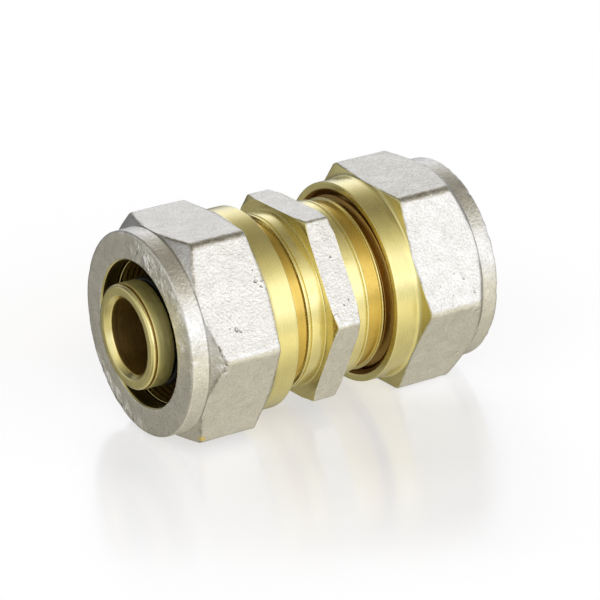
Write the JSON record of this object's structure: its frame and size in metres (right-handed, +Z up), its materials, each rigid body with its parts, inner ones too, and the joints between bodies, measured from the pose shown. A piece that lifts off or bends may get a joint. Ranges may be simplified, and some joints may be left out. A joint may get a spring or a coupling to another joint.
{
  "type": "compression fitting",
  "caption": "Straight compression coupling for multilayer pipe: threaded body with O-ring spigots, hexagon nuts over slit clamping rings and insulating washers.",
  "frame": {"origin": "on the pipe axis at the middle of the centre hexagon", "axes": "+X along the pipe axis towards the right end, +Z up with two flats of the centre hexagon level, +Y away from the viewer"},
  "size_m": [0.042, 0.0266, 0.024],
  "materials": {
    "body_brass": "turned brass threads, bands and spigots, nickel-plated centre hexagon",
    "nut_nickel": "forged brass, matt nickel plate outside, bare turned brass hub and thread",
    "ring_brass": "turned, bare",
    "seal_rubber": "smooth black EPDM",
    "washer_ptfe": "white PTFE"
  },
  "bodies": {
    "coupling_body": {"coupling_body": "body_brass", "left_outer_oring": "seal_rubber", "left_inner_oring": "seal_rubber", "right_outer_oring": "seal_rubber", "right_inner_oring": "seal_rubber", "left_insulating_washer": "washer_ptfe", "right_insulating_washer": "washer_ptfe"},
    "left_split_ring": {"left_split_ring": "ring_brass"},
    "left_nut": {"left_nut": "nut_nickel"},
    "right_split_ring": {"right_split_ring": "ring_brass"},
    "right_nut": {"right_nut": "nut_nickel"}
  },
  "joints": [
    {"name": "left_ring_travel", "type": "slide", "parent": "coupling_body", "child": "left_split_ring", "axis": [-1, 0, 0], "range_m": [-0.001, 0.00525]},
    {"name": "left_nut_turn", "type": "hinge", "parent": "left_split_ring", "child": "left_nut", "pos_m": [-0.0127, 0, 0], "axis": [-1, 0, 0], "range_deg": [-240, 1260]},
    {"name": "right_ring_travel", "type": "slide", "parent": "coupling_body", "child": "right_split_ring", "axis": [1, 0, 0], "range_m": [-0.0015, 0.00475]},
    {"name": "right_nut_turn", "type": "hinge", "parent": "right_split_ring", "child": "right_nut", "pos_m": [0.0132, 0, 0], "axis": [1, 0, 0], "range_deg": [-360, 1140]}
  ],
  "couplings": [
    {"joint": "left_ring_travel", "follows": "left_nut_turn", "m_per_rad": 0.00023873},
    {"joint": "right_ring_travel", "follows": "right_nut_turn", "m_per_rad": 0.00023873}
  ]
}
